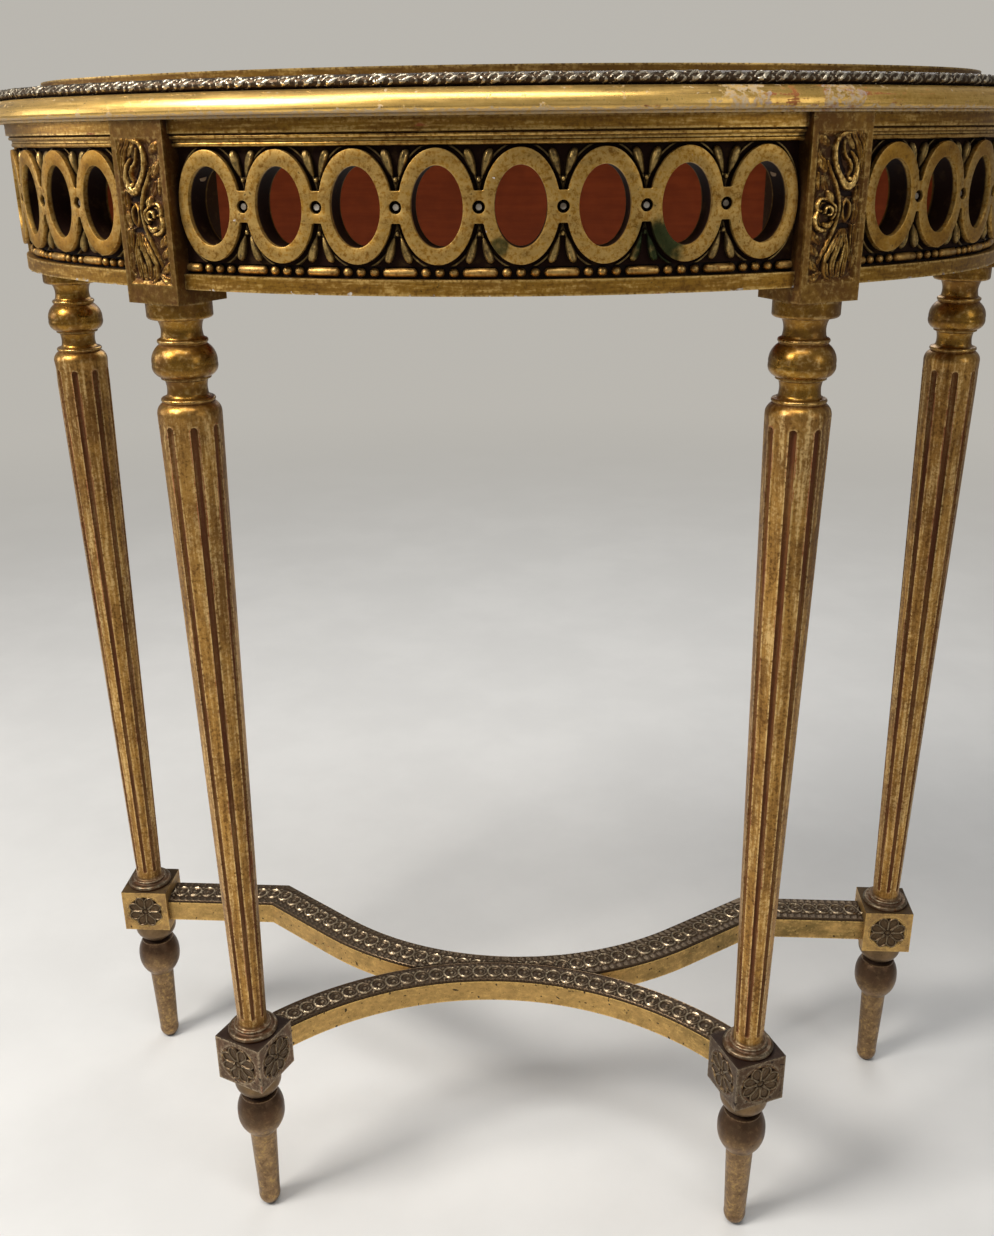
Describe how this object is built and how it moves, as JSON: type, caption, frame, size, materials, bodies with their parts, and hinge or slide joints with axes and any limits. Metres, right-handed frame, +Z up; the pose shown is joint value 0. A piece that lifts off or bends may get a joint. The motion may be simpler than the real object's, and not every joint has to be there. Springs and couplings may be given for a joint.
{
  "type": "pier table",
  "caption": "Half-round gilded pier table with a pierced oval-ring frieze, turned fluted legs and curved stretchers that meet in the middle.",
  "frame": {"origin": "floor level, in the middle of the table's width and depth", "axes": "+Z up, +Y towards the wall, +X to the right seen from the front"},
  "size_m": [0.742, 0.3, 0.872],
  "materials": {
    "frieze_gilding": "aged water gilding, sunk ground darkened",
    "bead_gilding": "aged gilding, dark in the recess",
    "block_gilding": "matt aged gilding",
    "cornice_gilding": "aged gilding with worn edges",
    "rim_gilding": "burnished gilding worn to red bole",
    "bronzed_carving": "bronzed carving with gilt highlights",
    "ornament_gilding": "carved and gilded",
    "leg_gilding": "aged gilding, dark and reddish in the flutes",
    "stretcher_gilding": "aged gilding with specks of wear",
    "foot_gilding": "worn gilding",
    "top_gilding": "olive gold on a flat board",
    "pale_pins": "pale wood",
    "bare_wood": "unfinished softwood",
    "bole_paint": "red-brown bole",
    "screw_steel": "plain steel"
  },
  "bodies": {
    "root": {"back_rail": "bole_paint", "bead_strip_front": "bead_gilding", "bead_strip_left": "bead_gilding", "bead_strip_right": "bead_gilding", "carved_band_front": "bronzed_carving", "carved_band_left": "bronzed_carving", "carved_band_right": "bronzed_carving", "coin_strip_front": "bronzed_carving", "coin_strip_rear": "bronzed_carving", "cornice_front": "cornice_gilding", "cornice_left": "cornice_gilding", "cornice_right": "cornice_gilding", "fascia_front": "block_gilding", "fascia_left": "block_gilding", "fascia_right": "block_gilding", "foot_front_left": "foot_gilding", "foot_front_right": "foot_gilding", "foot_rear_left": "foot_gilding", "foot_rear_right": "foot_gilding", "frieze_dowels": "bare_wood", "frieze_front": "frieze_gilding", "frieze_left": "frieze_gilding", "frieze_pins": "pale_pins", "frieze_right": "frieze_gilding", "glue_blocks": "bare_wood", "leg_block_front_left": "block_gilding", "leg_block_front_right": "block_gilding", "leg_block_rear_left": "block_gilding", "leg_block_rear_right": "block_gilding", "leg_front_left": "leg_gilding", "leg_front_right": "leg_gilding", "leg_rear_left": "leg_gilding", "leg_rear_right": "leg_gilding", "pilaster_ornament_front_left": "ornament_gilding", "pilaster_ornament_front_right": "ornament_gilding", "pilaster_ornament_rear_left": "ornament_gilding", "pilaster_ornament_rear_right": "ornament_gilding", "rim_back": "bare_wood", "rim_front": "rim_gilding", "rim_left": "rim_gilding", "rim_right": "rim_gilding", "rosettes_front_left": "bronzed_carving", "rosettes_front_right": "bronzed_carving", "rosettes_rear_left": "bronzed_carving", "rosettes_rear_right": "bronzed_carving", "stretcher_block_front_left": "stretcher_gilding", "stretcher_block_front_right": "stretcher_gilding", "stretcher_block_rear_left": "stretcher_gilding", "stretcher_block_rear_right": "stretcher_gilding", "stretcher_dowels": "bare_wood", "stretcher_front": "stretcher_gilding", "stretcher_rear": "stretcher_gilding", "top_batten_front": "bare_wood", "top_batten_rear": "bare_wood", "top_board_left": "top_gilding", "top_board_right": "top_gilding", "top_screws": "screw_steel"}
  },
  "joints": []
}
